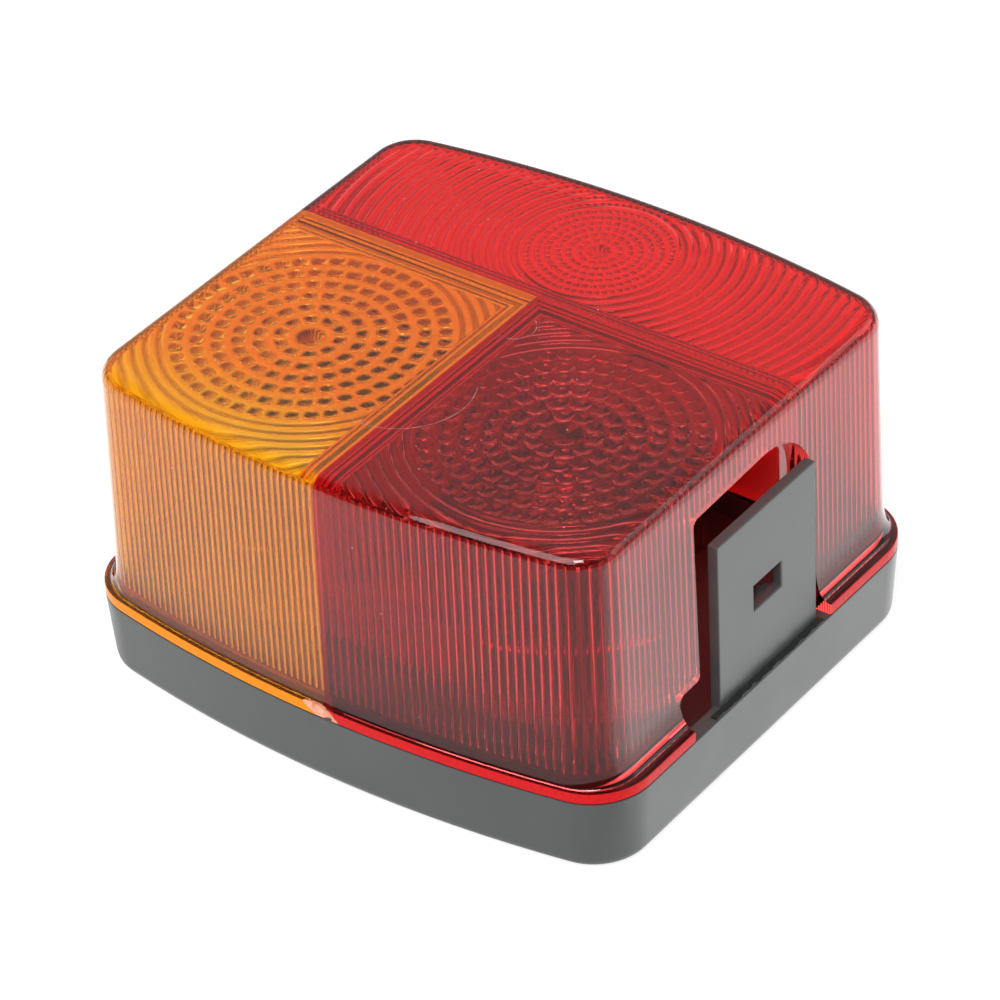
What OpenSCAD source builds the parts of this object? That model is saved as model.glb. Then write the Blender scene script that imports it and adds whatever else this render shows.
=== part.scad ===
// Three-chamber tail light: a two-colour moulded lens on a black base tray.
// Three bayonet bulbs stand on the floor, and a slotted plate stands in the lens's side window.
// The back of the base lies on z = 0, +Z points out through the lens, and the window faces +X.

/* [Base tray] */
// Length of the base between its straight ends
base_l = 108; // [100:1:130]
// Width of the base across the middle of its bowed sides
base_w = 99.2; // [94:0.2:120]
// How far each long side bows out past its corners
side_bow = 6; // [3:0.5:9]
// Corner radius of the base rim
base_corner = 11; // [9:0.5:14]
// Height of the base rim above its back
base_h = 13.9; // [12.5:0.1:18]
// How much the base wall leans in at its foot
base_lean = 0.9; // [0.3:0.1:1.5]
// Radius of the base's lower edge
base_edge = 2; // [1:0.5:3]
// Thickness of the base wall at its rim
base_wall = 3; // [2.4:0.1:3.6]
// Thickness of the base floor
floor_t = 2.5; // [2:0.1:3.5]
// Width of the inner ledge that carries the seal
ledge_w = 2.6; // [2:0.1:4]
// Depth of that ledge below the rim
ledge_drop = 6.4; // [5:0.1:7]

/* [Lens] */
// Height of the whole lamp
lamp_h = 60; // [58:1:75]
// Step in from the rim to the lens wall at the straight ends
step_x = 3; // [2:0.1:5]
// Step in from the rim to the lens wall at the bowed sides
step_y = 1.5; // [1.2:0.1:4]
// How much the lens wall leans in at the top
lens_lean = 0.7; // [0.3:0.1:1.5]
// Corner radius of the lens wall at its foot
lens_corner = 9; // [7:0.5:12]
// Radius of the lens's top edge
lens_edge = 2.8; // [1.5:0.1:3.5]
// Thickness of the lens wall at its foot
lens_wall = 2.6; // [2.2:0.1:3.2]
// Thickness of the lens top
lens_top_t = 2.4; // [1.8:0.1:3.5]
// Thickness of the flange that sits on the rim
flange_t = 2.2; // [1.5:0.1:3]
// Height of the cove between the flange and the wall
cove_h = 5.4; // [3:0.1:8]
// Reach of that cove
cove_w = 1.2; // [0.6:0.1:1.2]
// Thickness of the skirt inside the base
skirt_t = 1.4; // [1:0.1:1.8]

/* [Lens optics] */
// Width of one upright flute inside the wall
flute_pitch = 1.4; // [1.2:0.1:3]
// Depth of the flutes
flute_depth = 0.35; // [0.2:0.05:0.6]
// Pitch of the inner rings over the front bulbs
ring_pitch = 3.4; // [2.5:0.1:5]
// Number of those wide rings
ring_count = 6; // [3:1:7]
// Pitch of the fine rings
fine_pitch = 2.1; // [1.6:0.1:3]
// Depth of the rings
ring_depth = 0.7; // [0.4:0.1:1]
// Radius of the clear disc at a ring centre
disc_r = 3; // [2:0.1:5]
// Place of the cross seam, as a share of the base's width
seam_share = 0.13; // [0.08:0.005:0.16]
// Thickness of each partition rib
rib_t = 1.8; // [1.2:0.1:2.5]
// Depth of the partition ribs below the lens ceiling
rib_drop = 20.5; // [10:0.5:24]
// Width of the plain strip between a rib and the rings
strip_w = 2; // [0.4:0.1:3]

/* [Side window and plate] */
// Width of the upright plate
plate_w = 28; // [20:0.5:34]
// Middle of the plate along its side
plate_y = 1.4; // [-4:0.1:4]
// Thickness of the plate
plate_t = 2; // [1.5:0.1:2.5]
// Set-back of the plate's face from the rim
plate_set = 1.5; // [0.5:0.1:2]
// Height of the plate's top edge
plate_top = 46; // [36:0.5:50]
// Width of the slot in the plate
slot_w = 8; // [5:0.5:12]
// Height of the slot
slot_h = 5; // [4.2:0.1:8]
// Height of the slot's middle
slot_z = 29.7; // [22:0.1:32]
// Height of the window's top edge
window_top = 54.4; // [51:0.1:55]
// Gap from the plate to the window's near edge
window_near = 3.4; // [1.5:0.1:5]
// Gap from the plate to the window's far edge
window_far = 2.2; // [1.5:0.1:5]
// Radius of the window's far top corner
window_round = 14; // [4:1:16]
// Extra width of the cut through the flange
notch_w = 5.8; // [2:0.1:8]
// Height of that wider cut above the rim
notch_h = 7.6; // [5:0.1:12]

/* [Bulbs and holders] */
// Distance of the two front bulbs from the middle, as a share of the base's length
bulb_x_share = 0.2333; // [0.22:0.005:0.25]
// Place of the two front bulbs across the lamp, as a share of the base's width
bulb_y_share = -0.151; // [-0.18:0.005:-0.13]
// Place of the rear bulb across the lamp, as a share of the base's width
rear_share = 0.307; // [0.28:0.005:0.32]
// Length of a bulb, as a share of the lamp's height
bulb_share = 0.79; // [0.7:0.01:0.8]
// Diameter of a bulb's glass, as a share of the base's width
glass_share = 0.252; // [0.2:0.005:0.26]
// Thickness of the glass
glass_t = 0.8; // [0.5:0.1:1.2]
// Diameter of a bulb's cap
cap_d = 15; // [14:0.1:15.4]
// Length of a bulb's cap
cap_l = 15; // [13:0.5:17]
// Diameter of the bayonet pins
pin_d = 2; // [1.6:0.1:2.2]
// Wall of a bulb holder
holder_t = 0.7; // [0.5:0.1:1]
// Height of a bulb holder
holder_h = 15; // [13:0.5:16]
// Thickness of the earth plate
earth_t = 0.8; // [0.6:0.1:1.2]
// Height of the earth plate above the floor
earth_rise = 6.5; // [5.5:0.1:7]
// Thickness of the contact springs
spring_t = 0.5; // [0.4:0.1:0.6]
// Width of the contact springs
spring_w = 6.3; // [4.8:0.1:7]
// Height of a blade above the floor
blade_h = 10; // [7:0.5:12]

/* [Fastening] */
// Distance between the two fixing holes, as a share of the base's length
bolt_x_share = 0.6667; // [0.62:0.005:0.7]
// Place of the fixing holes across the lamp, as a share of the base's width
bolt_y_share = 0.262; // [0.22:0.005:0.28]
// Diameter of a fixing hole
bolt_d = 5.5; // [4.5:0.1:6.5]
// Diameter of the cable hole in the floor
cable_hole = 9; // [7:0.5:11]
// Diameter of the bore in the grommet
cable_bore = 6; // [4:0.5:6.5]
// Diameter of the rivet shanks
rivet_d = 3; // [2.4:0.1:3.4]

/* [Hidden] */

// Clearances
snug = 0.05;
fit = 0.2;
slack = 0.3;
// How far cutting shapes run past what they cut, and how deep joined shapes sit in each other
over = 1;
bury = 0.4;

// Facets of a full turn: long bows, large rounds, tubes, small holes and thin wires
bow_fn = 360;
big_fn = 96;
tube_fn = 64;
hole_fn = 32;
wire_fn = 16;
// Steps of a rounded edge
edge_steps = 4;
top_steps = 5;

// The plan is two straight ends and two bowed sides with round corners.
half_l = base_l / 2;
chord_half = base_w / 2 - side_bow;
bow_r = (half_l * half_l + side_bow * side_bow) / (2 * side_bow);
bow_c = base_w / 2 - bow_r;

// Places and sizes that follow the base and the lamp's height
seam_y = seam_share * base_w;
bulb_x = bulb_x_share * base_l;
bulb_y = bulb_y_share * base_w;
rear_y = rear_share * base_w;
bulb_l = bulb_share * lamp_h;
glass_d = glass_share * base_w;
bolt_span = bolt_x_share * base_l;
bolt_y = bolt_y_share * base_w;

// Outer faces of the lens wall at its foot
wall_x = half_l - step_x;
wall_bow = bow_r - step_y;

// Heights
ledge_z = base_h - ledge_drop;
skirt_z = ledge_z + 1.5;
flange_z = base_h + flange_t;
cove_z = flange_z + cove_h;
ceiling_z = lamp_h - lens_top_t;
rib_z = ceiling_z - rib_drop;
button_h = 1.2;
button_z = floor_t + 2.5;
cap_z = button_z + button_h;
cap_top = cap_z + cap_l;
bulb_top = button_z + bulb_l;
glass_z = bulb_top - glass_d / 2;
earth_z = floor_t + earth_rise;
holder_z = button_z + 1;
holder_r = cap_d / 2 + fit + holder_t;
pin_z = button_z + 7.7;
pin_gap = pin_d + 0.5;
// Turn of the bayonet slots, and where the pins rest near their ends
slot_turn = 26;
pin_turn = slot_turn - asin((pin_d / 2 + fit) / (holder_r - holder_t));

// Places of the bulbs
spot_indicator = [-bulb_x, bulb_y];
spot_tail = [bulb_x, bulb_y];
spot_stop = [0, rear_y];
SPOTS = [spot_indicator, spot_tail, spot_stop];
// Way that each contact spring runs from under its bulb
WAYS = [180, 0, 0];

// Posts that carry the earth plate, on the stem of its T
post_d = 8;
POSTS = [[0, bulb_y], [0, (rear_y + bulb_y) / 2]];
spring_rivet = 12;
spring_reach = 17.3;
head_d = 1.8 * rivet_d;
head_h = 0.9;
rivet_in = 4;
blind_t = 0.8;
lobe_r = holder_r + 3.2;
collar_r = holder_r + 1.6;
collar_h = 0.8;
bolt_boss = bolt_d + 8;
boss_h = 3.5;
cable_spot = [-0.76 * bulb_x, seam_y];
lip_t = 1.2;
lip_w = 2.2;

// Plate and window edges along the side
plate_near = plate_y - plate_w / 2;
plate_far = plate_y + plate_w / 2;
plate_face = half_l - plate_set;
plate_foot = skirt_z + slack;
window_y0 = plate_near - window_near;
window_y1 = plate_far + window_far;
notch_y0 = window_y0 - notch_w;
notch_z = base_h + notch_h;

// Catches on the skirt: side of the lamp and place along it
catch_l = 8;
catch_h = 1.4;
catch_out = 0.5;
catch_z = skirt_z + 1.2;
// Small bevels on the flange, below and above
flange_foot = 0.3;
flange_bevel = 0.5;

// Middle of the round corner of a plan with half length hx, bow radius rb and corner radius rc
function corner_at(hx, rb, rc) = [hx - rc, bow_c + sqrt(pow(rb - rc, 2) - pow(hx - rc, 2))];
// Angle that the corner turns through, from the end to the bowed side
function corner_turn(hx, rb, rc) = let (c = corner_at(hx, rb, rc)) atan2(c[1] - bow_c, c[0]);

// Points of one quarter of the plan, from the middle of the end to the middle of the bowed side.
// Each point is [x, y, nx, ny], with steps near the given pitch.
function quarter(hx, rb, rc, pitch) =
    let (
        c = corner_at(hx, rb, rc),
        turn = corner_turn(hx, rb, rc),
        n_end = max(1, round(c[1] / pitch)),
        n_corner = max(4, round(rc * turn * PI / 180 / pitch)),
        n_bow = max(1, round(rb * (90 - turn) * PI / 180 / pitch))
    )
    concat(
        [for (i = [0:n_end - 1]) [hx, c[1] * i / n_end, 1, 0]],
        [for (i = [0:n_corner - 1]) let (a = turn * i / n_corner)
            [c[0] + rc * cos(a), c[1] + rc * sin(a), cos(a), sin(a)]],
        [for (i = [0:n_bow - 1]) let (a = turn + (90 - turn) * i / n_bow)
            [rb * cos(a), bow_c + rb * sin(a), cos(a), sin(a)]],
        [[0, bow_c + rb, 0, 1]]
    );
function flip(q, sx, sy) = [for (p = q) [p[0] * sx, p[1] * sy, p[2] * sx, p[3] * sy]];
function back(q) = [for (i = [len(q) - 1:-1:0]) q[i]];
function head(q) = [for (i = [0:len(q) - 2]) q[i]];
// The whole plan, anticlockwise from the middle of the +X end
function plan(hx, rb, rc, pitch) =
    let (q = quarter(hx, rb, rc, pitch))
    concat(head(q), head(back(flip(q, -1, 1))), head(flip(q, -1, -1)), head(back(flip(q, 1, -1))));
// A plan moved in from the base rim by d
function inset(d, pitch = 6) = plan(half_l - d, bow_r - d, base_corner - d, pitch);
function flat(q) = [for (p = q) [p[0], p[1]]];

// A plan whose every second point is pushed out, which makes upright V flutes
function fluted(q, depth) = [for (i = [0:len(q) - 1])
    let (p = q[i], d = i % 2 == 0 ? 0 : depth) [p[0] + p[2] * d, p[1] + p[3] * d]];

// Prism of a plan between two heights
module prism(points, z0, z1) {
    translate([0, 0, z0]) linear_extrude(height = z1 - z0) polygon(points);
}

// Solid whose outer edge follows the plan: edge is a list of [outset, z] from the bottom to the top
module swept(edge, hx, rb, rc) {
    z0 = edge[0][1];
    z1 = edge[len(edge) - 1][1];
    c = corner_at(hx, rb, rc);
    turn = corner_turn(hx, rb, rc);
    // Reach of the sector cut away at each corner
    far = 30;
    difference() {
        intersection() {
            for_side(rb, edge, z0, z1);
            mirror([0, 1, 0]) for_side(rb, edge, z0, z1);
            rotate([90, 0, 0]) linear_extrude(height = 2 * base_w, center = true)
                polygon(concat([for (p = edge) [hx + p[0], p[1]]],
                    [for (i = [len(edge) - 1:-1:0]) [-hx - edge[i][0], edge[i][1]]]));
        }
        at_corners(c) rotate_extrude(angle = turn, $fn = big_fn)
            polygon([[0, z0 - over], [far, z0 - over], [far, z1 + over], [0, z1 + over]]);
    }
    at_corners(c) rotate_extrude(angle = turn, $fn = big_fn)
        polygon(concat([[0, z0]], [for (p = edge) [rc + p[0], p[1]]], [[0, z1]]));
}
// The same shape at all four corners
module at_corners(c) {
    for (mx = [0, 1], my = [0, 1]) mirror([mx, 0, 0]) mirror([0, my, 0])
        translate([c[0], c[1], 0]) children();
}
// Full disc whose rim is one bowed side
module for_side(rb, edge, z0, z1) {
    translate([0, bow_c, 0]) rotate_extrude($fn = bow_fn)
        polygon(concat([[0, z0]], [for (p = edge) [rb + p[0], p[1]]], [[0, z1]]));
}

// Edge of the base: round foot, then a wall that leans out to the rim
function base_profile() = concat(
    [for (i = [0:edge_steps]) let (a = 90 * i / edge_steps)
        [-base_lean - base_edge * (1 - sin(a)), base_edge * (1 - cos(a))]],
    [[0, base_h]]);

// Edge of the lens: foot, cove, leaning wall and round top edge
function lens_profile() = concat(
    [[cove_w, base_h]],
    [for (i = [0:edge_steps]) let (a = 90 * i / edge_steps)
        [cove_w * (1 - sin(a)), cove_z - cove_h * cos(a)]],
    [for (i = [0:top_steps]) let (a = 90 * i / top_steps)
        [-lens_lean - lens_edge * (1 - cos(a)), lamp_h - lens_edge * (1 - sin(a))]]);

module base_tray() {
    color([0.10, 0.10, 0.11]) difference() {
        union() {
            difference() {
                swept(base_profile(), half_l, bow_r, base_corner);
                union() {
                    prism(flat(inset(base_wall + ledge_w)), floor_t, ledge_z + over);
                    prism(flat(inset(base_wall)), ledge_z, base_h + over);
                }
            }
            for (p = POSTS) translate([p[0], p[1], floor_t - bury])
                cylinder(d = post_d, h = earth_z - floor_t + bury, $fn = tube_fn);
            for (s = [-1, 1]) translate([s * bolt_span / 2, bolt_y, floor_t - bury])
                cylinder(d = bolt_boss, h = boss_h + bury, $fn = tube_fn);
            side_plate();
        }
        catches(base_wall, catch_out + slack, catch_l + 2 * slack, catch_h + 2 * slack);
        for (s = [-1, 1]) translate([s * bolt_span / 2, bolt_y, -over])
            cylinder(d = bolt_d, h = floor_t + boss_h + 2 * over, $fn = tube_fn);
        for (p = POSTS) translate([p[0], p[1], earth_z - rivet_in])
            cylinder(d = rivet_d, h = rivet_in + over, $fn = hole_fn);
        for (i = [0:2]) translate([SPOTS[i][0], SPOTS[i][1], 0]) rotate(WAYS[i])
            translate([spring_rivet, 0, blind_t]) cylinder(d = rivet_d, h = floor_t, $fn = hole_fn);
        translate([cable_spot[0], cable_spot[1], -over])
            cylinder(d = cable_hole, h = floor_t + 2 * over, $fn = tube_fn);
        translate([cable_spot[0], cable_spot[1], -over])
            cylinder(d = cable_hole + 2 * lip_w + 2 * fit, h = lip_t + over, $fn = tube_fn);
    }
}

// Upright plate moulded on the rim, with its slot
module side_plate() {
    difference() {
        translate([plate_face - plate_t, plate_near, plate_foot])
            cube([plate_t, plate_w, plate_top - plate_foot]);
        translate([plate_face - plate_t - over, plate_y - slot_w / 2, slot_z - slot_h / 2])
            cube([plate_t + 2 * over, slot_w, slot_h]);
    }
}

// Catches along the straight ends, or the pockets that take them
module catches(d, out, l, h) {
    for (s = [-1, 1], y = [-1, 1]) translate([s * (half_l - d), y * (chord_half - base_corner), 0])
        translate([-out, -l / 2, catch_z + catch_h / 2 - h / 2]) cube([2 * out, l, h]);
}

// Outer body of the lens, closed underneath
module lens_block() {
    swept(lens_profile(), wall_x, wall_bow, lens_corner);
    swept([[-flange_foot, base_h], [0, base_h + flange_foot], [0, flange_z - flange_bevel],
        [-flange_bevel, flange_z]], half_l, bow_r, base_corner);
}

// Hollow of the lens with its upright flutes
module lens_hollow(z0) {
    prism(fluted(plan(wall_x - lens_wall, wall_bow - lens_wall, lens_corner - lens_wall, flute_pitch / 2),
        flute_depth), z0, ceiling_z);
}

// Part of a chamber ceiling that rings can cover
module chamber(x0, x1, y0, y1, z0, z1) {
    clear = lens_wall + 0.6;
    intersection() {
        translate([x0, y0, z0]) cube([x1 - x0, y1 - y0, z1 - z0]);
        prism(flat(plan(wall_x - clear, wall_bow - clear, lens_corner - clear, 6)), z0, z1);
    }
}

// Rings moulded under the ceiling: saw teeth turned about the bulb's axis
module rings(spot, radii) {
    low = ceiling_z - ring_depth;
    land = 0.4;
    last = radii[len(radii) - 1];
    translate([spot[0], spot[1], 0]) rotate_extrude($fn = big_fn)
        polygon(concat([[0, ceiling_z + bury], [0, low], [radii[0] - land, low]],
            [for (i = [0:len(radii) - 2]) each [[radii[i], ceiling_z], [radii[i + 1] - land, low]]],
            [[last, ceiling_z], [last, ceiling_z + bury]]));
}
fine_count = 9;
rear_count = 26;
wide_radii = [for (i = [0:ring_count]) disc_r + 0.2 + i * ring_pitch];
wide_last = wide_radii[ring_count];
front_radii = concat(wide_radii, [for (i = [1:fine_count]) wide_last + i * fine_pitch]);
rear_radii = [for (i = [0:rear_count]) disc_r - 0.6 + i * fine_pitch];

// Wall and flange cut away round the upright plate
module window_cut() {
    reach = step_x + lens_wall + 3;
    foot = skirt_z - over;
    // Middle of the round far corner: height and place along the side
    mid_z = window_top - window_round;
    mid_y = window_y1 - window_round;
    translate([half_l + over, 0, 0]) rotate([0, -90, 0]) linear_extrude(height = reach + over) union() {
        difference() {
            translate([foot, window_y0]) square([window_top - foot, window_y1 - window_y0]);
            translate([mid_z, mid_y]) square(window_round + over);
        }
        intersection() {
            translate([mid_z, mid_y]) circle(r = window_round, $fn = big_fn);
            translate([mid_z - over, mid_y - over]) square(window_round + 2 * over);
        }
        translate([foot, notch_y0]) square([notch_z - foot, window_y1 - notch_y0]);
    }
}

// Everything of the lens that both colours share: shell, skirt and window
module lens_shell() {
    difference() {
        union() {
            difference() {
                lens_block();
                lens_hollow(base_h - over);
            }
            difference() {
                prism(flat(inset(base_wall + slack)), skirt_z, flange_z - 0.2);
                prism(flat(inset(base_wall + slack + skirt_t)), skirt_z - over, flange_z + over);
            }
            catches(base_wall + slack, catch_out, catch_l, catch_h);
        }
        window_cut();
    }
}

// Quarter of the plan that is moulded in amber
module amber_region() {
    translate([-base_l, -base_w, 0]) cube([base_l, base_w + seam_y, lamp_h + over]);
}
// Depth of the ribs and of the rings' room, each sunk into the lens top
rib_h = rib_drop + bury;
ring_foot = ceiling_z - 2;
ring_head = ceiling_z + 2;

module lens_amber() {
    color([0.95, 0.50, 0.12, 0.8]) union() {
        intersection() {
            lens_shell();
            amber_region();
        }
        intersection() {
            lens_hollow(rib_z);
            union() {
                translate([-rib_t, -base_w, rib_z]) cube([rib_t, base_w + seam_y, rib_h]);
                translate([-base_l, seam_y - rib_t, rib_z]) cube([base_l, rib_t, rib_h]);
            }
        }
        intersection() {
            rings(spot_indicator, front_radii);
            chamber(-base_l, -rib_t - strip_w, -base_w, seam_y - rib_t - strip_w, ring_foot, ring_head);
        }
    }
}

module lens_red() {
    color([0.80, 0.10, 0.12, 0.8]) union() {
        difference() {
            lens_shell();
            amber_region();
        }
        intersection() {
            lens_hollow(rib_z);
            union() {
                translate([0, -base_w, rib_z]) cube([rib_t, base_w + seam_y, rib_h]);
                translate([0, seam_y - rib_t, rib_z]) cube([base_l, rib_t, rib_h]);
                translate([-base_l, seam_y, rib_z]) cube([2 * base_l, rib_t, rib_h]);
            }
        }
        intersection() {
            rings(spot_tail, front_radii);
            chamber(rib_t + strip_w, base_l, -base_w, seam_y - rib_t - strip_w, ring_foot, ring_head);
        }
        intersection() {
            rings(spot_stop, rear_radii);
            chamber(-base_l, base_l, seam_y + rib_t + strip_w, base_w, ring_foot, ring_head);
        }
    }
}

// Flat rubber ring between the ledge and the skirt
module lens_seal() {
    color([0.16, 0.16, 0.16]) difference() {
        prism(flat(inset(base_wall + fit)), ledge_z, skirt_z);
        prism(flat(inset(base_wall + ledge_w - fit)), ledge_z - over, skirt_z + over);
    }
}

// Plated steel T that carries the three holders
module earth_plate() {
    arm = 14;
    color([0.75, 0.75, 0.72]) difference() {
        translate([0, 0, earth_z]) linear_extrude(height = earth_t) union() {
            translate([-bulb_x, bulb_y - arm / 2]) square([2 * bulb_x, arm]);
            translate([-arm / 2, bulb_y]) square([arm, rear_y - bulb_y]);
            for (s = SPOTS) translate(s) circle(r = lobe_r, $fn = tube_fn);
        }
        for (s = SPOTS) translate([s[0], s[1], earth_z - over])
            cylinder(r = holder_r + snug, h = earth_t + 2 * over, $fn = tube_fn);
        for (p = POSTS) translate([p[0], p[1], earth_z - over])
            cylinder(d = rivet_d + 2 * snug, h = earth_t + 2 * over, $fn = hole_fn);
    }
}

// Rivet with its head on height z and a shank of the given depth below
module rivet(z, depth) {
    translate([0, 0, z]) cylinder(d = head_d, h = head_h, $fn = hole_fn);
    translate([0, 0, z - depth]) cylinder(d = rivet_d - 2 * snug, h = depth + bury, $fn = hole_fn);
}

module plate_rivets() {
    color([0.80, 0.80, 0.80]) for (p = POSTS)
        translate([p[0], p[1], 0]) rivet(earth_z + earth_t, earth_t + rivet_in - 2 * snug);
}

module contact_rivets() {
    color([0.80, 0.80, 0.80]) for (i = [0:2]) translate([SPOTS[i][0], SPOTS[i][1], 0]) rotate(WAYS[i])
        translate([spring_rivet, 0, 0]) rivet(floor_t + spring_t, spring_t + floor_t - blind_t - 2 * snug);
}

// Rubber grommet: a lip in the back's counterbore, a neck through the floor and a lip inside
module cable_grommet() {
    bore = cable_bore / 2;
    neck = cable_hole / 2 - snug;
    lip = cable_hole / 2 + lip_w;
    sunk = 0.1;
    top = floor_t + 1.8;
    color([0.12, 0.12, 0.12]) translate([cable_spot[0], cable_spot[1], 0]) rotate_extrude($fn = tube_fn)
        polygon([[bore, sunk], [lip, sunk], [lip, lip_t], [neck, lip_t], [neck, floor_t],
            [lip, floor_t], [cable_hole / 2 + 0.6 * lip_w, top], [bore, top]]);
}

// Bulb holder: a steel tube with a collar on the earth plate and two bayonet slots
module holder(spot) {
    slot_foot = pin_z - pin_gap / 2;
    color([0.78, 0.76, 0.70]) translate([spot[0], spot[1], 0]) difference() {
        union() {
            translate([0, 0, holder_z]) cylinder(r = holder_r, h = holder_h, $fn = tube_fn);
            translate([0, 0, earth_z + earth_t]) cylinder(r = collar_r, h = collar_h, $fn = tube_fn);
        }
        translate([0, 0, holder_z - over])
            cylinder(r = holder_r - holder_t, h = holder_h + 2 * over, $fn = tube_fn);
        for (a = [0, 180]) rotate(a) {
            translate([holder_r - 2 * over, -pin_gap / 2, slot_foot])
                cube([4 * over, pin_gap, holder_z + holder_h - slot_foot + over]);
            translate([0, 0, slot_foot]) rotate_extrude(angle = slot_turn, $fn = big_fn)
                translate([holder_r - 1.5, 0]) square([3, pin_gap]);
        }
    }
}

// Contact spring: a tongue under the bulb, a riveted foot and an upright blade
module contact(i) {
    low = button_z - spring_t;
    top = floor_t + blade_h;
    foot = floor_t + spring_t;
    tongue = 3;
    heel = 8;
    blade_t = 0.8;
    blade_x = spring_reach - blade_t;
    eye_d = 1.6;
    color([0.85, 0.68, 0.35]) translate([SPOTS[i][0], SPOTS[i][1], 0]) rotate(WAYS[i]) difference() {
        rotate([90, 0, 0]) linear_extrude(height = spring_w, center = true)
            polygon([[-tongue, low], [tongue, low], [heel, floor_t], [spring_reach, floor_t],
                [spring_reach, top], [blade_x, top], [blade_x, foot], [heel + 0.2, foot],
                [tongue + 0.2, button_z], [-tongue, button_z]]);
        translate([spring_rivet, 0, floor_t - over])
            cylinder(d = rivet_d + 2 * snug, h = spring_t + 2 * over, $fn = hole_fn);
        translate([blade_x - over, 0, top - 2 * eye_d]) rotate([0, 90, 0])
            cylinder(d = eye_d, h = blade_t + 2 * over, $fn = hole_fn);
    }
}

// Metal cap of a bulb with its contact button and two bayonet pins
module bulb_cap(spot) {
    cap_r = cap_d / 2;
    button_r = 2.5;
    small = 0.4;
    pin_l = cap_d + 2;
    color([0.82, 0.74, 0.50]) translate([spot[0], spot[1], 0]) {
        rotate_extrude($fn = tube_fn)
            polygon([[0, button_z], [button_r - small, button_z], [button_r, button_z + small],
                [button_r, cap_z], [cap_r - 1, cap_z], [cap_r, cap_z + 1], [cap_r, cap_top - small],
                [cap_r - small, cap_top], [0, cap_top]]);
        rotate(pin_turn) rotate([0, 90, 0]) translate([-pin_z, 0, -pin_l / 2])
            cylinder(d = pin_d, h = pin_l, $fn = hole_fn);
    }
}

// Blown glass of a bulb: a ball on a straight neck, open at the cap
module bulb_glass(spot) {
    ball = glass_d / 2;
    neck = cap_d / 2 - 1.2;
    neck_l = glass_z - cap_top;
    color([0.90, 0.92, 0.94, 0.5]) translate([spot[0], spot[1], 0]) rotate_extrude($fn = big_fn)
        intersection() {
            difference() {
                union() {
                    translate([0, glass_z]) circle(r = ball, $fn = big_fn);
                    translate([-neck, cap_top]) square([2 * neck, neck_l]);
                }
                translate([0, glass_z]) circle(r = ball - glass_t, $fn = big_fn);
                translate([-neck + glass_t, cap_top - over]) square([2 * (neck - glass_t), neck_l + over]);
            }
            translate([0, cap_top - over]) square([glass_d, bulb_l]);
        }
}

// Filament bar on its two support wires
module filament(spot) {
    wire = 0.6;
    half = 3;
    color([0.60, 0.60, 0.62]) translate([spot[0], spot[1], 0]) {
        for (s = [-1, 1]) translate([s * half, 0, cap_top])
            cylinder(d = wire, h = glass_z - cap_top + wire / 2, $fn = wire_fn);
        translate([-half, 0, glass_z]) rotate([0, 90, 0]) cylinder(d = wire, h = 2 * half, $fn = wire_fn);
    }
}

base_tray();
lens_amber();
lens_red();
lens_seal();
earth_plate();
plate_rivets();
contact_rivets();
cable_grommet();
holder(spot_indicator);  // holder_indicator
holder(spot_tail);  // holder_tail
holder(spot_stop);  // holder_stop
contact(0);  // contact_indicator
contact(1);  // contact_tail
contact(2);  // contact_stop
bulb_cap(spot_indicator);  // bulb_cap_indicator
bulb_cap(spot_tail);  // bulb_cap_tail
bulb_cap(spot_stop);  // bulb_cap_stop
bulb_glass(spot_indicator);  // bulb_glass_indicator
bulb_glass(spot_tail);  // bulb_glass_tail
bulb_glass(spot_stop);  // bulb_glass_stop
filament(spot_indicator);  // filament_indicator
filament(spot_tail);  // filament_tail
filament(spot_stop);  // filament_stop
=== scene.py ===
"""Look of the three-chamber tail light: coloured moulded lens, black base tray, bulbs and metal inside."""
import math

import bmesh
import bpy
from mathutils import Matrix, Vector, noise


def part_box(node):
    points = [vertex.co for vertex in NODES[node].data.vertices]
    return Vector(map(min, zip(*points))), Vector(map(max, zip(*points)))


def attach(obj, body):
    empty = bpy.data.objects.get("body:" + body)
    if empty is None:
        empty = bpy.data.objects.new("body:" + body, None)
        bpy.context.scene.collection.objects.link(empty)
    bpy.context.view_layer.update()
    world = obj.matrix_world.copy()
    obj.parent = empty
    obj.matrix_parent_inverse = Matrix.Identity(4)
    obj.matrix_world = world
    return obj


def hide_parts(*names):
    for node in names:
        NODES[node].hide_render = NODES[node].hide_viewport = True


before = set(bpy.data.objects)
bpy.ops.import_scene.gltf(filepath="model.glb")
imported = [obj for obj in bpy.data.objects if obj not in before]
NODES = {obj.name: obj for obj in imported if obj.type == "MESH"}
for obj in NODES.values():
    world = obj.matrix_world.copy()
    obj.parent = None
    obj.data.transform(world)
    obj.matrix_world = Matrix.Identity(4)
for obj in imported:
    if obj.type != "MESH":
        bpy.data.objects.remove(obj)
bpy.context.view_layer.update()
MM = 0.001

# Camera, floor and light

# Where the camera looks, in millimetres and degrees, from the photograph's straight edges
LOOK_AT = Vector((1.91, -2.14, 28.84)) * MM
CAMERA_AZ, CAMERA_EL, CAMERA_ROLL = 37.73, 36.30, 2.93
CAMERA_AWAY = 867.12 * MM
FOCAL, FILM_WIDTH = 189.65, 36


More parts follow.
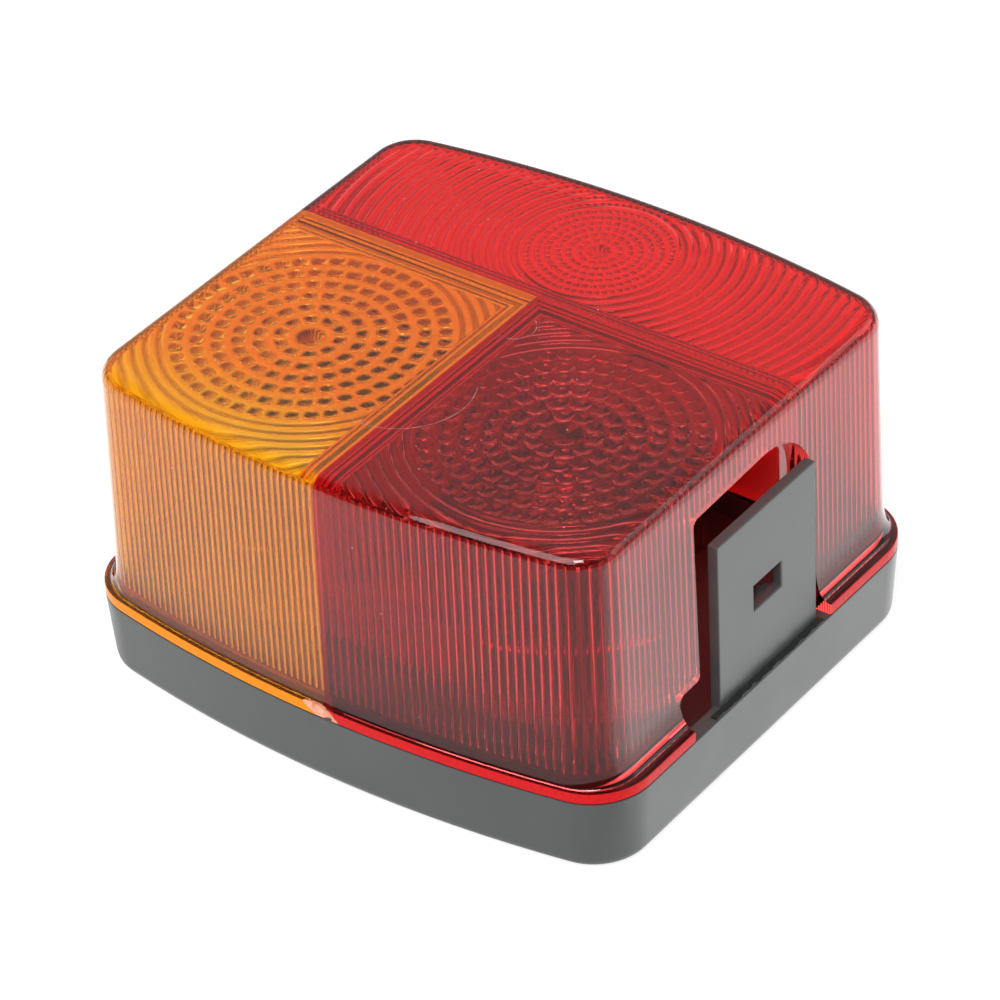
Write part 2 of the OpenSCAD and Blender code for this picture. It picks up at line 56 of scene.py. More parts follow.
def make_camera():
    az, el, roll = (math.radians(v) for v in (CAMERA_AZ, CAMERA_EL, CAMERA_ROLL))
    back = Vector((math.sin(az) * math.cos(el), -math.cos(az) * math.cos(el), math.sin(el)))
    right = (-back).cross(Vector((0, 0, 1))).normalized()
    down = (-back).cross(right)
    across = right * math.cos(roll) + down * math.sin(roll)
    lens = bpy.data.cameras.new("camera")
    lens.lens, lens.sensor_width = FOCAL, FILM_WIDTH
    lens.clip_start, lens.clip_end = 0.05, 50
    camera = bpy.data.objects.new("camera", lens)
    turn = Matrix((across, back.cross(across), back)).transposed()
    camera.matrix_world = Matrix.Translation(LOOK_AT + back * CAMERA_AWAY) @ turn.to_4x4()
    bpy.context.scene.collection.objects.link(camera)
    bpy.context.scene.camera = camera


def linear(code):
    """sRGB hex such as F9B359 as a linear colour."""
    parts = [int(code[i : i + 2], 16) / 255 for i in (0, 2, 4)]
    return [p / 12.92 if p <= 0.04045 else ((p + 0.055) / 1.055) ** 2.4 for p in parts] + [1.0]


def add(tree, kind, links=None, **settings):
    """Adds a node. links maps input names to other nodes' outputs or to values."""
    made = tree.nodes.new("ShaderNode" + kind)
    for name, value in settings.items():
        setattr(made, name, value)
    for name, value in (links or {}).items():
        if isinstance(value, bpy.types.NodeSocket):
            tree.links.new(value, made.inputs[name])
        else:
            made.inputs[name].default_value = value
    return made


def graded(tree, value, start, end, low, high):
    """A value between two limits, stretched to run from low to high."""
    return add(tree, "MapRange", {"Value": value, "From Min": start, "From Max": end, "To Min": low,
                                  "To Max": high}).outputs[0]


def blend(tree, factor, one, other):
    """Colour between two others."""
    return add(tree, "Mix", {"Factor": factor, "A": one, "B": other}, data_type="RGBA").outputs[2]


def new_material(name):
    made = bpy.data.materials.new(name)
    made.use_nodes = True
    made.node_tree.nodes.clear()
    return made, made.node_tree


def finish_material(made, shader):
    tree = made.node_tree
    out = tree.nodes.new("ShaderNodeOutputMaterial")
    tree.links.new(shader.outputs[0], out.inputs["Surface"])
    return made


# Light of the surrounding room for dull faces, and for gloss in front of the lamp and behind it
ROOM_DIFFUSE, ROOM_FRONT, ROOM_BEHIND = 0.5, 0.1, 0.5
# How far to the front and to the back gloss goes over from one to the other
ROOM_TURN = 0.3
FLOOR_ALBEDO, FLOOR_WHITE = 0.30, 0.80
# Light of the floor: share and rest for dull faces, and for gloss at the left, at the right and behind
FLOOR_SHARE, FLOOR_DIFFUSE = 0.3, 0.22
FLOOR_LEFT, FLOOR_FRONT, FLOOR_BEHIND = 1.05, 0.64, 1.65
# Where the floor goes over from left to right and from front to back, in metres
FLOOR_ACROSS, FLOOR_ALONG = (-0.07, 0.05), (-0.054, -0.03)


def plainly_seen(tree, path):
    """1 where the camera sees the place directly or through clear plastic, and 0 elsewhere."""
    return add(tree, "Math", {0: path.outputs["Is Camera Ray"], 1: path.outputs["Is Transmission Ray"]},
               operation="MAXIMUM").outputs[0]


def make_world():
    """Room that lights the lamp evenly, and that gloss mirrors dark in front and bright behind."""
    world = bpy.context.scene.world or bpy.data.worlds.new("room")
    bpy.context.scene.world = world
    world.use_nodes = True
    tree = world.node_tree
    tree.nodes.clear()
    path = add(tree, "LightPath")
    seen = plainly_seen(tree, path)
    towards = add(tree, "SeparateXYZ", {0: add(tree, "TexCoord").outputs["Generated"]})
    mirror = graded(tree, towards.outputs["Y"], -ROOM_TURN, ROOM_TURN, ROOM_FRONT, ROOM_BEHIND)
    dim = add(tree, "Mix", {"Factor": path.outputs["Is Glossy Ray"], "A": ROOM_DIFFUSE, "B": mirror})
    strength = add(tree, "Mix", {"Factor": seen, "A": dim.outputs[0], "B": 1.0})
    shade = add(tree, "Background", {"Color": (1, 1, 1, 1), "Strength": strength.outputs[0]})
    out = tree.nodes.new("ShaderNodeOutputWorld")
    tree.links.new(shade.outputs[0], out.inputs["Surface"])


def make_floor():
    """White table: it keeps a faint shadow, and mirrors brighter beside and behind the lamp than in front."""
    bm = bmesh.new()
    bmesh.ops.create_grid(bm, x_segments=1, y_segments=1, size=6)
    mesh = bpy.data.meshes.new("floor")
    bm.to_mesh(mesh)
    bm.free()
    floor = bpy.data.objects.new("floor", mesh)
    bpy.context.scene.collection.objects.link(floor)
    made, tree = new_material("white_table")
    path = add(tree, "LightPath")
    place = add(tree, "SeparateXYZ", {0: add(tree, "NewGeometry").outputs["Position"]})
    side = graded(tree, place.outputs["X"], *FLOOR_ACROSS, FLOOR_LEFT, FLOOR_FRONT)
    behind = graded(tree, place.outputs["Y"], *FLOOR_ALONG, 0.0, FLOOR_BEHIND)
    mirror = add(tree, "Math", {0: side, 1: behind}, operation="MAXIMUM").outputs[0]
    soft = add(tree, "Math", {0: mirror, 1: FLOOR_SHARE, 2: FLOOR_DIFFUSE}, operation="MULTIPLY_ADD")
    dull = add(tree, "Mix", {"Factor": path.outputs["Is Glossy Ray"], "A": soft.outputs[0], "B": mirror})
    glow = add(tree, "Mix", {"Factor": plainly_seen(tree, path), "A": dull.outputs[0], "B": FLOOR_WHITE})
    paint = add(tree, "BsdfDiffuse", {"Color": (FLOOR_ALBEDO,) * 3 + (1,)})
    light = add(tree, "Emission", {"Color": (1, 1, 1, 1), "Strength": glow.outputs[0]})
    both = add(tree, "AddShader", {0: paint.outputs[0], 1: light.outputs[0]})
    mesh.materials.append(finish_material(made, both))


# Studio lamps: direction they stand in, distance, width and height in millimetres, and power in watts
LAMPS = {
    "key": ((0.02, -0.57, 0.78), 900, 800, 560, 5.4),
    "glint": ((0.40, -0.45, 0.79), 880, 230, 200, 2.2),
    "rim": ((0.62, 0.72, 0.52), 900, 700, 300, 0.8),
}


def soft_box(name, towards, away, wide, high, power):
    """Studio lamp with a flat rectangular screen that faces the object."""
    lamp = bpy.data.lights.new(name, "AREA")
    lamp.shape, lamp.size, lamp.size_y, lamp.energy = "RECTANGLE", wide * MM, high * MM, power
    thing = bpy.data.objects.new(name, lamp)
    direction = Vector(towards).normalized()
    thing.location = LOOK_AT + direction * away * MM
    thing.rotation_mode = "QUATERNION"
    thing.rotation_quaternion = direction.to_track_quat("Z", "Y")
    bpy.context.scene.collection.objects.link(thing)


make_camera()
make_world()
make_floor()
for name, settings in LAMPS.items():
    soft_box(name, *settings)
bpy.context.scene.view_settings.view_transform = "Standard"
# The lens passes light through many faces: past this count the picture hardly changes
bpy.context.scene.cycles.max_bounces = 8

# Plan of the lamp, in millimetres

BASE_LO, BASE_HI = (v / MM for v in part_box("base_tray"))
LENS_HI = max(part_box(n)[1].z for n in ("lens_amber", "lens_red")) / MM
HALF_L, HALF_W = BASE_HI.x, (BASE_HI.y - BASE_LO.y) / 2
SIDE_BOW, RIM_CORNER = 6.0, 11.0
BASE_H = 13.9
STEP_X, STEP_Y, WALL_CORNER = 3.0, 1.5, 9.0
LENS_WALL, LENS_TOP, LENS_LEAN, LENS_EDGE = 2.6, 2.4, 0.7, 2.8
FLANGE_Z, COVE_H, COVE_EDGE, COVE_STEPS = 16.1, 5.4, 0.5, 10
# Hairline between pieces, and the dark line between base and lens
GAP, FOOT_GAP = 0.01, 0.06
CEILING = LENS_HI - LENS_TOP
SKIRT_Z, SKIRT_IN, SKIRT_T, SKIRT_ROOT = 9.0, 3.3, 1.4, 0.2
SEAM_Y, SEAM_LAP, RIB_T, RIB_DROP = 12.9, 0.3, 1.8, 20.5
BULB_X, BULB_Y, REAR_Y = 25.2, -15.0, 30.5
BOW_R = (HALF_L**2 + SIDE_BOW**2) / (2 * SIDE_BOW)
BOW_C = HALF_W - BOW_R
RIM = (HALF_L, BOW_R, RIM_CORNER)
WALL = (HALF_L - STEP_X, BOW_R - STEP_Y, WALL_CORNER)
# Steps along the straight end, the corner and the bowed side of each quarter
PLAN_STEPS = (10, 14, 44)


def quarter(line, counts):
    """One quarter of a plan from the end's middle to the side's middle: (x, y, normal x, normal y)."""
    reach, bow, corner = line
    cx = reach - corner
    cy = BOW_C + math.sqrt((bow - corner) ** 2 - cx**2)
    turn = math.atan2(cy - BOW_C, cx)
    ends, rounds, bows = counts
    points = [(reach, cy * i / ends, 1.0, 0.0) for i in range(ends)]
    for i in range(rounds):
        a = turn * i / rounds
        points.append((cx + corner * math.cos(a), cy + corner * math.sin(a), math.cos(a), math.sin(a)))
    for i in range(bows + 1):
        a = turn + (math.pi / 2 - turn) * i / bows
        points.append((bow * math.cos(a), BOW_C + bow * math.sin(a), math.cos(a), math.sin(a)))
    return points


def flip(points, sx, sy):
    return [(x * sx, y * sy, nx * sx, ny * sy) for x, y, nx, ny in points]


def whole(one, two, three, four):
    """A closed plan from its quarters, each drawn from the end's middle to the side's middle."""
    quarters = (flip(one, 1, 1), flip(two, -1, 1)[::-1], flip(three, -1, -1), flip(four, 1, -1)[::-1])
    return [point for part in quarters for point in part[:-1]]


def outline(line, out=0.0):
    q = quarter(line, PLAN_STEPS)
    return [(x + nx * out, y + ny * out) for x, y, nx, ny in whole(q, q, q, q)]


# Mesh helpers

# Material slots of the lens: polished outside, plain inside, flute edges painted as bright lines, rings, ribs
# painted bright, flange edge painted as a glowing band, fracture
SKINS = OUTSIDE, INSIDE, FLUTE, RINGS, REAR_RINGS, RIB, FLANGE, BROKEN = range(8)
# Angle over which an edge stays sharp, in degrees
SHARP = 32


def new_piece(name, bm, skin=OUTSIDE):
    mesh = bpy.data.meshes.new(name)
    for face in bm.faces:
        face.material_index = face.material_index or skin
    bm.to_mesh(mesh)
    bm.free()
    for _ in SKINS:
        mesh.materials.append(None)
    piece = bpy.data.objects.new(name, mesh)
    bpy.context.scene.collection.objects.link(piece)
    return piece


def loft(name, rings, skin=OUTSIDE, side=None):
    """Closed solid through rings of equal count. Each ring is (points, height), and side(i) gives the skin
    of the side that starts at point i."""
    bm = bmesh.new()
    step = bm.verts.layers.int.new("step")
    points, z = rings[0]
    verts = [bm.verts.new((x * MM, y * MM, z * MM)) for x, y in points]
    for i, vert in enumerate(verts):
        vert[step] = i
    bottom = top = bm.faces.new(verts)
    for points, z in rings[1:]:
        grown = bmesh.ops.extrude_face_region(bm, geom=[top])["geom"]
        if top is not bottom:
            bm.faces.remove(top)
        top = next(g for g in grown if isinstance(g, bmesh.types.BMFace))
        for vert in top.verts:
            x, y = points[vert[step]]
            vert.co = (x * MM, y * MM, z * MM)
    for face in bm.faces:
        if side and len(face.verts) == 4:
            steps = {vert[step] for vert in face.verts}
            face.material_index = side(min(steps) if max(steps) - min(steps) == 1 else max(steps))
    bmesh.ops.recalc_face_normals(bm, faces=bm.faces[:])
    return new_piece(name, bm, skin)


def prism(name, points, z0, z1, skin=INSIDE, side=None):
    return loft(name, [(points, z0), (points, z1)], skin, side)


def box(lo, hi):
    """Mesh of a box between two corners."""
    bm = bmesh.new()
    bmesh.ops.create_cube(bm, size=1)
    size = [(b - a) * MM for a, b in zip(lo, hi)]
    bmesh.ops.scale(bm, vec=size, verts=bm.verts)
    bmesh.ops.translate(bm, vec=[(a + b) / 2 * MM for a, b in zip(lo, hi)], verts=bm.verts)
    return bm


def block(name, lo, hi, skin=INSIDE):
    return new_piece(name, box(lo, hi), skin)


def twin(piece):
    copy = piece.copy()
    copy.data = piece.data.copy()
    bpy.context.scene.collection.objects.link(copy)
    return copy


def discard(piece):
    mesh = piece.data
    bpy.data.objects.remove(piece)
    bpy.data.meshes.remove(mesh)


def settle(piece):
    """Applies the piece's modifiers to its mesh."""
    depsgraph = bpy.context.evaluated_depsgraph_get()
    mesh = bpy.data.meshes.new_from_object(piece.evaluated_get(depsgraph))
    old = piece.data
    piece.modifiers.clear()
    piece.data = mesh
    bpy.data.meshes.remove(old)
    return piece


def shape(piece, how, *tools):
    """Joins, cuts or trims a closed piece with closed tools, which are used up."""
    for tool in tools:
        change = piece.modifiers.new("fit", "BOOLEAN")
        change.operation, change.object, change.solver = how, tool, "MANIFOLD"
        settle(piece)
        discard(tool)
    return piece


def smooth(piece):
    """Smooth shading that stays sharp at edges over the angle, with flat faces kept flat."""
    mesh = piece.data
    mesh.shade_smooth()
    mesh.set_sharp_from_angle(angle=math.radians(SHARP))
    weigh = piece.modifiers.new("normals", "WEIGHTED_NORMAL")
    weigh.mode, weigh.weight, weigh.keep_sharp = "FACE_AREA", 50, True
    return piece


def ride(piece, materials, *nodes, slot):
    """Gives the piece its materials and its place on the body, in place of CAD nodes if any are named."""
    slots = piece.data.materials
    while len(slots) > len(materials):
        slots.pop()
    for i, material in enumerate(materials):
        slots[i] = material
    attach(piece, "root")
    if nodes:
        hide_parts(*nodes)


# Finishes


def noisy(tree, where, size_mm, detail):
    """Cloudy pattern of one size on the piece, from 0 to 1."""
    cloud = add(tree, "TexNoise", {"Vector": where, "Scale": 1 / (size_mm * MM), "Detail": detail})
    return cloud.outputs["Fac"]


def arc_mark(tree, where, centre, radius, ends, thick):
    """How much of a fine curved scratch is here: centre and sizes in millimetres, ends in degrees."""
    shifted = add(tree, "VectorMath", {0: where, 1: (centre[0] * MM, centre[1] * MM, 0)},
                  operation="SUBTRACT")
    part = add(tree, "SeparateXYZ", {0: shifted.outputs[0]})
    flat = add(tree, "CombineXYZ", {"X": part.outputs["X"], "Y": part.outputs["Y"]})
    reach = add(tree, "VectorMath", {0: flat.outputs[0]}, operation="LENGTH")
    off = add(tree, "Math", {0: reach.outputs["Value"], 1: radius * MM, 2: thick * MM}, operation="COMPARE")
    turn = add(tree, "Math", {0: part.outputs["Y"], 1: part.outputs["X"]}, operation="ARCTAN2")
    middle, half = (math.radians(sum(ends) / 2), math.radians((ends[1] - ends[0]) / 2))
    near = add(tree, "Math", {0: turn.outputs[0], 1: middle, 2: half}, operation="COMPARE")
    return add(tree, "Math", {0: off.outputs[0], 1: near.outputs[0]}, operation="MULTIPLY").outputs[0]


ACRYLIC_IOR = 1.49
# Curved scratches on the lens top: centre, radius, ends in degrees, half thickness
SCRATCHES = (((-3.4, -19.0), 12.0, (-96, 30), 0.035), ((2.0, 4.0), 3.6, (-100, 60), 0.035))
# Dust specks: their distance apart in millimetres, and their size as a share of it
DUST_MM, DUST_SIZE = 5, 0.032


def lens_plastic(name, tint, body):
    """Acrylic polished by its mould: deep clear colour and glass-like gloss, with dust specks and hairline
    scratches from handling."""
    made, tree = new_material(name)
    where = add(tree, "TexCoord").outputs["Object"]
    wave = noisy(tree, where, 16, 0.0)
    grain = noisy(tree, where, 1.1, 1.0)
    haze = graded(tree, grain, 0.35, 0.75, 0.0, 0.03)
    colour = blend(tree, wave, linear(tint), linear(body))
    dust = add(tree, "TexVoronoi", {"Vector": where, "Scale": 1 / (DUST_MM * MM)})
    speck = add(tree, "Math", {0: dust.outputs["Distance"], 1: DUST_SIZE}, operation="LESS_THAN")
    mark = speck.outputs[0]
    for scratch in SCRATCHES:
        line = arc_mark(tree, where, *scratch)
        mark = add(tree, "Math", {0: mark, 1: line}, operation="MAXIMUM").outputs[0]
    faint = graded(tree, grain, 0.35, 0.65, 0.1, 0.55)
    worn = add(tree, "Math", {0: mark, 1: faint}, operation="MULTIPLY")
    shader = add(tree, "BsdfPrincipled", {
        "Base Color": colour, "Roughness": haze, "IOR": ACRYLIC_IOR, "Transmission Weight": 1.0})
    pale = add(tree, "BsdfDiffuse", {"Color": linear("F4DCDC")})
    both = add(tree, "MixShader", {0: worn.outputs[0], 1: shader.outputs[0], 2: pale.outputs[0]})
    return finish_material(made, both)


def lens_optics(name, tint, body, clear, rough=0.06, ior=ACRYLIC_IOR):
    """Inner face of the lens: the same acrylic, which scatters part of the light in the colour given. On the
    plain inside this is a duller mould face in the plastic's own colour; on the flute edges, ribs and flange
    edge the lighter or deeper colour and the dullness are painted light, which stands for light that the
    clear plastic carries and bends."""
    made, tree = new_material(name)
    where = add(tree, "TexCoord").outputs["Object"]
    grain = noisy(tree, where, 0.9, 1.0)
    colour = blend(tree, grain, linear(tint), linear(body))
    dull = graded(tree, grain, 0.3, 0.7, rough * 0.6, rough * 1.4)
    shader = add(tree, "BsdfPrincipled", {
        "Base Color": colour, "Roughness": dull, "IOR": ior, "Transmission Weight": clear})
    return finish_material(made, shader)


# Roughness of the ring faces, and where along Y the painted front light starts and is full, in millimetres
RING_ROUGH, LIT_START, LIT_FULL = 0.05, -26, -41
# Shares of a ring's depth where its crown is wholly clear and where its ground is wholly dull
CROWN_SHARE, GROUND_SHARE = 0.7, 0.2


def lens_rings(name, tint, body, ground, crown, depth, front=None):
    """Rings and cells under the lens top: dull mould face between them, which glows in the plastic's own
    colour, and clear crowns that look through to the dark inside. Depth is the relief in millimetres. Near
    the front wall the ridges are painted in the front colour: painted light that stands for the light that
    runs up the wall."""
    made, tree = new_material(name)
    where = add(tree, "TexCoord").outputs["Object"]
    colour = blend(tree, noisy(tree, where, 1.3, 1.0), linear(tint), linear(body))
    place = add(tree, "SeparateXYZ", {0: where})
    # Painted light: near the front wall the colour turns to the front colour
    if front:
        lit = graded(tree, place.outputs["Y"], LIT_START * MM, LIT_FULL * MM, 0.0, 1.0)
        colour = blend(tree, lit, colour, linear(front))
    clear = graded(tree, place.outputs["Z"], (CEILING - CROWN_SHARE * depth) * MM,
                   (CEILING - GROUND_SHARE * depth) * MM, crown, ground)
    shader = add(tree, "BsdfPrincipled", {
        "Base Color": colour, "Roughness": RING_ROUGH, "IOR": ACRYLIC_IOR, "Transmission Weight": clear})
    return finish_material(made, shader)


def broken_plastic(name, code):
    """Acrylic where the gate was broken off: a pale, crazed fracture face."""
    made, tree = new_material(name)
    where = add(tree, "TexCoord").outputs["Object"]
    chips = noisy(tree, where, 0.5, 4.0)
    base = linear(code)
    deep = [base[0] * 0.8, base[1] * 0.5, base[2] * 0.4, 1]
    relief = add(tree, "Bump", {"Height": chips, "Strength": 1.0, "Distance": 0.2 * MM})
    shader = add(tree, "BsdfPrincipled", {
        "Base Color": blend(tree, chips, base, deep), "Roughness": 0.45, "IOR": ACRYLIC_IOR,
        "Normal": relief.outputs[0]})
    return finish_material(made, shader)


# Flow marks of the black plastic: their size in millimetres, and how much paler they are
FLOW_MM, FLOW_PALE = 18, 1.72


def moulded_plastic(name, code, rough, grain_mm=0.45, depth_mm=0.02):
    """Filled polypropylene from a spark-eroded mould: satin black with a fine grain and faint flow marks."""
    made, tree = new_material(name)
    where = add(tree, "TexCoord").outputs["Object"]
    grain = noisy(tree, where, grain_mm, 2.0)
    flow = noisy(tree, where, FLOW_MM, 3.0)
    base = linear(code)
    pale = [min(1, c * FLOW_PALE) for c in base[:3]] + [1]
    dull = graded(tree, flow, 0.3, 0.7, rough - 0.05, rough + 0.06)
    relief = add(tree, "Bump", {"Height": grain, "Strength": 0.5, "Distance": depth_mm * MM})
    shader = add(tree, "BsdfPrincipled", {
        "Base Color": blend(tree, flow, base, pale), "Roughness": dull, "IOR": 1.5,
        "Normal": relief.outputs[0]})
    return finish_material(made, shader)


# How dark a handling stain is, as a share of the metal's own colour
STAIN = 0.78


def bare_metal(name, code, rough, stain_mm=4.0):
    """Pressed sheet metal or wire: its own colour in every reflection, with faint handling stains."""
    made, tree = new_material(name)
    where = add(tree, "TexCoord").outputs["Object"]
    stain = noisy(tree, where, stain_mm, 4.0)
    base = linear(code)
    worn = [c * STAIN for c in base[:3]] + [1]
    dull = graded(tree, stain, 0.3, 0.7, rough - 0.07, rough + 0.1)
    shader = add(tree, "BsdfPrincipled", {
        "Base Color": blend(tree, stain, base, worn), "Metallic": 1.0, "Roughness": dull})
    return finish_material(made, shader)


def blown_glass(name):
    """Soda-lime bulb glass, blown thin: colourless, with faint drawn streaks."""
    made, tree = new_material(name)
    where = add(tree, "TexCoord").outputs["Object"]
    streak = noisy(tree, where, 9, 1.0)
    relief = add(tree, "Bump", {"Height": streak, "Strength": 0.1, "Distance": 0.2 * MM})
    shader = add(tree, "BsdfPrincipled", {
        "Base Color": linear("F4F8F8"), "Roughness": 0.01, "IOR": 1.52, "Transmission Weight": 1.0,
        "Normal": relief.outputs[0]})
    return finish_material(made, shader)


# Heights of the rings and cells under the top, in millimetres
CELL_DEPTH, FINE_DEPTH, REAR_DEPTH = 0.62, 0.34, 0.3

# Materials of the lens in the order of its skins: two tints of the plastic, then how clear the face is
FRACTURE = broken_plastic("broken_acrylic", "F2B79A")
AMBER = (
    lens_plastic("amber_acrylic", "FFB840", "FFC04C"),
    lens_optics("amber_acrylic_inside", "FFB43C", "FFBC48", 0.75),
    lens_optics("amber_acrylic_flute_painted_lines", "FFCC60", "FFD46C", 0.08),
    *[lens_rings("amber_acrylic_rings_painted_front_light", "FFA42C", "FFB03C", 0.15, 1.0, CELL_DEPTH, "FFEC3C")] * 2,
    lens_optics("amber_acrylic_ribs_painted_bright", "FFAC38", "FFB440", 0.1),
    lens_optics("amber_acrylic_edge_painted_glow", "FF8C00", "FF9404", 0.0, 0.3, 1.25),
    FRACTURE)
RED = (
    lens_plastic("red_acrylic", "F64A4A", "F85050"),
    lens_optics("red_acrylic_inside", "E02C30", "E43438", 0.95),
    lens_optics("red_acrylic_flute_painted_lines", "E03C4C", "E44454", 0.72),
    lens_rings("red_acrylic_rings", "DC2C30", "E03438", 0.93, 1.0, CELL_DEPTH),
    # The rear rings take a lighter red than the plastic, painted light that makes the rear chamber brighter;
    # their dull ground stands for the fine rings' scatter
    lens_rings("red_acrylic_rear_rings_painted_bright", "FF4848", "FF5050", 0.08, 0.95, REAR_DEPTH),
    lens_optics("red_acrylic_ribs_painted_bright", "FA3C3C", "FC4444", 0.5),
    lens_optics("red_acrylic_edge_painted_glow", "D01014", "D8181C", 0.0, 0.3, 1.25),
    FRACTURE)
BLACK = moulded_plastic("black_polypropylene", "404343", 0.36)
# The flash is darker than the base: its dark colour is painted shade of the rim's top at the plate's foot
FLASH_AND_SHADE = moulded_plastic("polypropylene_flash_and_painted_shade", "1C1E1E", 0.5, 0.7, 0.08)
SEAL = moulded_plastic("seal_rubber", "1B1B1B", 0.75, 0.8, 0.03)
GROMMET = moulded_plastic("grommet_rubber", "161616", 0.6, 0.8, 0.03)
STEEL = bare_metal("zinc_plated_steel", "B9BAB4", 0.32)
RIVET = bare_metal("aluminium_rivet", "C8CACB", 0.28)
HOLDER = bare_metal("tinned_holder_steel", "B2AFA4", 0.35)
BRASS = bare_metal("spring_brass", "C9A24E", 0.3)
CAP = bare_metal("nickelled_cap_brass", "BDB292", 0.25)
GLASS = blown_glass("bulb_glass")
WIRE = bare_metal("tungsten_wire", "8C8C90", 0.4, 1.0)

# Wall of the lens

FLUTE_DEPTH, FLUTE_STEPS, FLUTE_FOOT = 0.32, 6, 17.2
# Pitch of the flutes in each quarter: right rear, left rear, left front, right front
FLUTE_PITCH = (1.42, 1.42, 1.29, 1.50)


def fluted_quarter(pitch):
    """Inside of the wall in one quarter, with half-round flutes that meet in sharp grooves."""
    reach, bow, corner = (v - LENS_WALL for v in WALL)
    cx = reach - corner
    cy = BOW_C + math.sqrt((bow - corner) ** 2 - cx**2)
    turn = math.atan2(cy - BOW_C, cx)
    lengths = (cy, corner * turn, bow * (math.pi / 2 - turn))
    counts = [max(2, round(length / pitch)) * FLUTE_STEPS for length in lengths]
    shaped = []
    for i, (x, y, nx, ny) in enumerate(quarter((reach, bow, corner), counts)):
        t = (i % FLUTE_STEPS) / FLUTE_STEPS
        d = FLUTE_DEPTH * (1 - math.sin(math.pi * t))
        shaped.append((x + nx * d, y + ny * d, nx, ny))
    return shaped


def groove_skin(i):
    """Skin of the inside wall that starts at point i: both sides of each groove take the flute skin, which
    paints them as bright lines.
    """
    return FLUTE if i % FLUTE_STEPS in (0, FLUTE_STEPS - 1) else INSIDE


def hollow():
    """Room inside the lens wall, with the flutes on its sides."""
    line = whole(*(fluted_quarter(pitch) for pitch in FLUTE_PITCH))
    return prism("hollow", [(x, y) for x, y, _, _ in line], FLUTE_FOOT, CEILING, side=groove_skin)


# Chamfer at the flange's foot, rounding of its top edge and the rounding's middle
FOOT_CHAMFER, FLANGE_ROUND, FLANGE_MIDDLE = 0.3, 0.28, 0.08
# Heights between which the flange's edge is painted as a glowing band
BAND_LO, BAND_HI = BASE_H + 0.1, FLANGE_Z - 0.05
# Shares of the wall's height at which it has rings, steps of its top edge, and the flat rim inside the edge
WALL_SHARES, TOP_STEPS, TOP_FLAT = (0.06, 0.5, 0.94), 8, 0.5


def lens_block():
    """Outside of the lens: flange, cove, leaning wall, rounded top edge and flat top."""
    flange = ((-FOOT_CHAMFER, BASE_H + FOOT_GAP), (0, BASE_H + FOOT_CHAMFER), (0, FLANGE_Z - FLANGE_ROUND),
              (-FLANGE_MIDDLE, FLANGE_Z - FLANGE_MIDDLE), (-FLANGE_ROUND, FLANGE_Z))
    rings = [(outline(RIM, out), z) for out, z in flange]
    wall, rim = outline(WALL), outline(RIM, -COVE_EDGE)
    for i in range(COVE_STEPS + 1):
        a = math.pi / 2 * i / COVE_STEPS
        spread = 1 - math.sin(a)
        swept = [(x0 + (x1 - x0) * spread, y0 + (y1 - y0) * spread) for (x0, y0), (x1, y1) in zip(wall, rim)]
        rings.append((swept, FLANGE_Z + COVE_H * (1 - math.cos(a))))
    wall_top = LENS_HI - LENS_EDGE
    foot = FLANGE_Z + COVE_H
    for share in WALL_SHARES:
        rings.append((outline(WALL, -LENS_LEAN * share), foot + (wall_top - foot) * share))
    for i in range(TOP_STEPS + 1):
        a = math.pi / 2 * i / TOP_STEPS
        rings.append((outline(WALL, -LENS_LEAN - LENS_EDGE * (1 - math.cos(a))),
                      wall_top + LENS_EDGE * math.sin(a)))
    rings.append((outline(WALL, -LENS_LEAN - LENS_EDGE - TOP_FLAT), LENS_HI))
    body = loft("lens_block", rings)
    # Faces in that band take the flange skin: an opaque deep colour, a painted glow that stands for light
    # carried along the flange
    for face in body.data.polygons:
        if BAND_LO * MM < face.center.z < BAND_HI * MM:
            face.material_index = FLANGE
    return body


# Chip in the flange: size, place, turn in degrees, and how often and how high its lumps are
CHIP_SIZE, CHIP_AT, CHIP_TURN = (3.9, 1.7, 1.6), (-0.3, -(HALF_W + 0.75), 15.4), 22
CHIP_LUMPS = ((2.3, 0.3), (6.0, 0.14))


def gate_chip():
    """Rough hollow at the front of the flange, where the moulding was broken off its runner."""
    bm = bmesh.new()
    bmesh.ops.create_icosphere(bm, subdivisions=4, radius=1)
    for vert in bm.verts:
        vert.co *= 1 + sum(noise.noise(vert.co * often) * high for often, high in CHIP_LUMPS)
    bmesh.ops.scale(bm, vec=[v * MM for v in CHIP_SIZE], verts=bm.verts)
    bmesh.ops.rotate(bm, matrix=Matrix.Rotation(math.radians(CHIP_TURN), 3, "Y"), verts=bm.verts)
    bmesh.ops.translate(bm, vec=[v * MM for v in CHIP_AT], verts=bm.verts)
    return new_piece("chip", bm, BROKEN)


def skirt():
    """Skirt that goes down inside the base and presses on the seal."""
    ring = prism("skirt", outline(RIM, -SKIRT_IN), SKIRT_Z, FLANGE_Z - SKIRT_ROOT)
    room = prism("room", outline(RIM, -SKIRT_IN - SKIRT_T), SKIRT_Z - 1, FLANGE_Z + 1)
    return shape(ring, "DIFFERENCE", room)


# Outer face of the upright plate
PLATE_FACE = HALF_L - 1.5
# Window and notch: places along the side, heights, corner radii and how far the cut goes inside the wall
WINDOW_Y, WINDOW_TOP, WINDOW_DEEP = (-16.0, 17.6), (52.4, 53.8), 3
FAR_ROUND, EAR_ROUND, STEP_ROUND, NOTCH_ROUND = 14.0, 1.3, 1.0, 1.6
NOTCH_Y, NOTCH_Z = -21.8, 21.5


